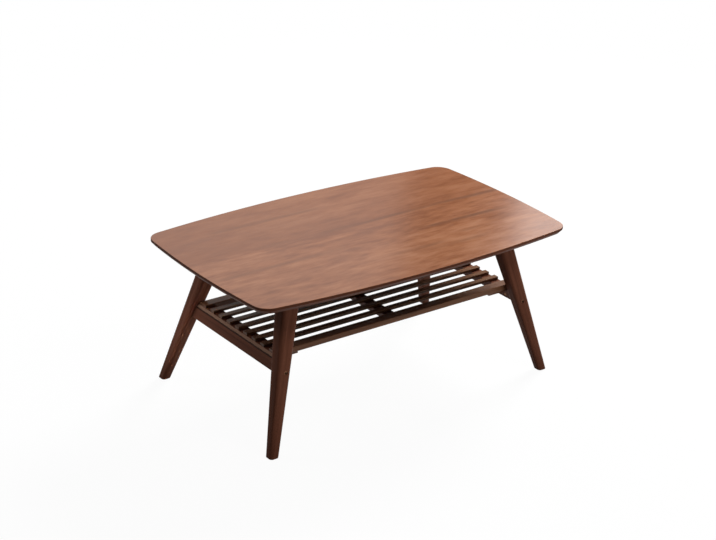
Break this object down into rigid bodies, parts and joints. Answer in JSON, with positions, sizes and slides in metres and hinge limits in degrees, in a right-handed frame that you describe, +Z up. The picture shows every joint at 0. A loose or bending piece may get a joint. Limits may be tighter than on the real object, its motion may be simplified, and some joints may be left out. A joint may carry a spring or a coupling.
{
  "type": "low tea table",
  "caption": "Low tea table: boat-shaped walnut top with a bevelled edge on splayed tapered legs, bolted end rails and a slatted shelf between them",
  "frame": {"origin": "on the floor, under the centre of the top", "axes": "+X along the top to the picture's right end, +Y from the near long side to the far one, +Z up"},
  "size_m": [0.9, 0.53, 0.372],
  "materials": {
    "walnut_top": "satin clear lacquer over straight walnut grain along the length",
    "dark_frame_wood": "dark brown stain under satin lacquer",
    "beech_dowel": "plain unfinished hardwood",
    "zinc_steel": "bright zinc plate",
    "bronzed_steel": "dark bronze plate on steel",
    "glide_plastic": "brown moulded plastic"
  },
  "bodies": {
    "root": {"batten_screws": "zinc_steel", "block_screws": "zinc_steel", "end_rail_left": "dark_frame_wood", "end_rail_right": "dark_frame_wood", "foot_glides": "glide_plastic", "leg_front_left": "dark_frame_wood", "leg_front_right": "dark_frame_wood", "leg_head_screws": "zinc_steel", "leg_plate_front_left": "zinc_steel", "leg_plate_front_right": "zinc_steel", "leg_plate_rear_left": "zinc_steel", "leg_plate_rear_right": "zinc_steel", "leg_rear_left": "dark_frame_wood", "leg_rear_right": "dark_frame_wood", "plate_screws": "zinc_steel", "rail_barrel_nuts": "bronzed_steel", "rail_bolts": "bronzed_steel", "rail_dowels": "beech_dowel", "shelf_batten_left": "dark_frame_wood", "shelf_batten_middle": "dark_frame_wood", "shelf_batten_right": "dark_frame_wood", "shelf_corner_blocks": "dark_frame_wood", "shelf_front_rail": "dark_frame_wood", "shelf_rear_rail": "dark_frame_wood", "shelf_slat_1": "dark_frame_wood", "shelf_slat_2": "dark_frame_wood", "shelf_slat_3": "dark_frame_wood", "shelf_slat_4": "dark_frame_wood", "shelf_slat_5": "dark_frame_wood", "shelf_slat_6": "dark_frame_wood", "shelf_slat_7": "dark_frame_wood", "slat_pins": "zinc_steel", "table_top": "walnut_top"}
  },
  "joints": []
}
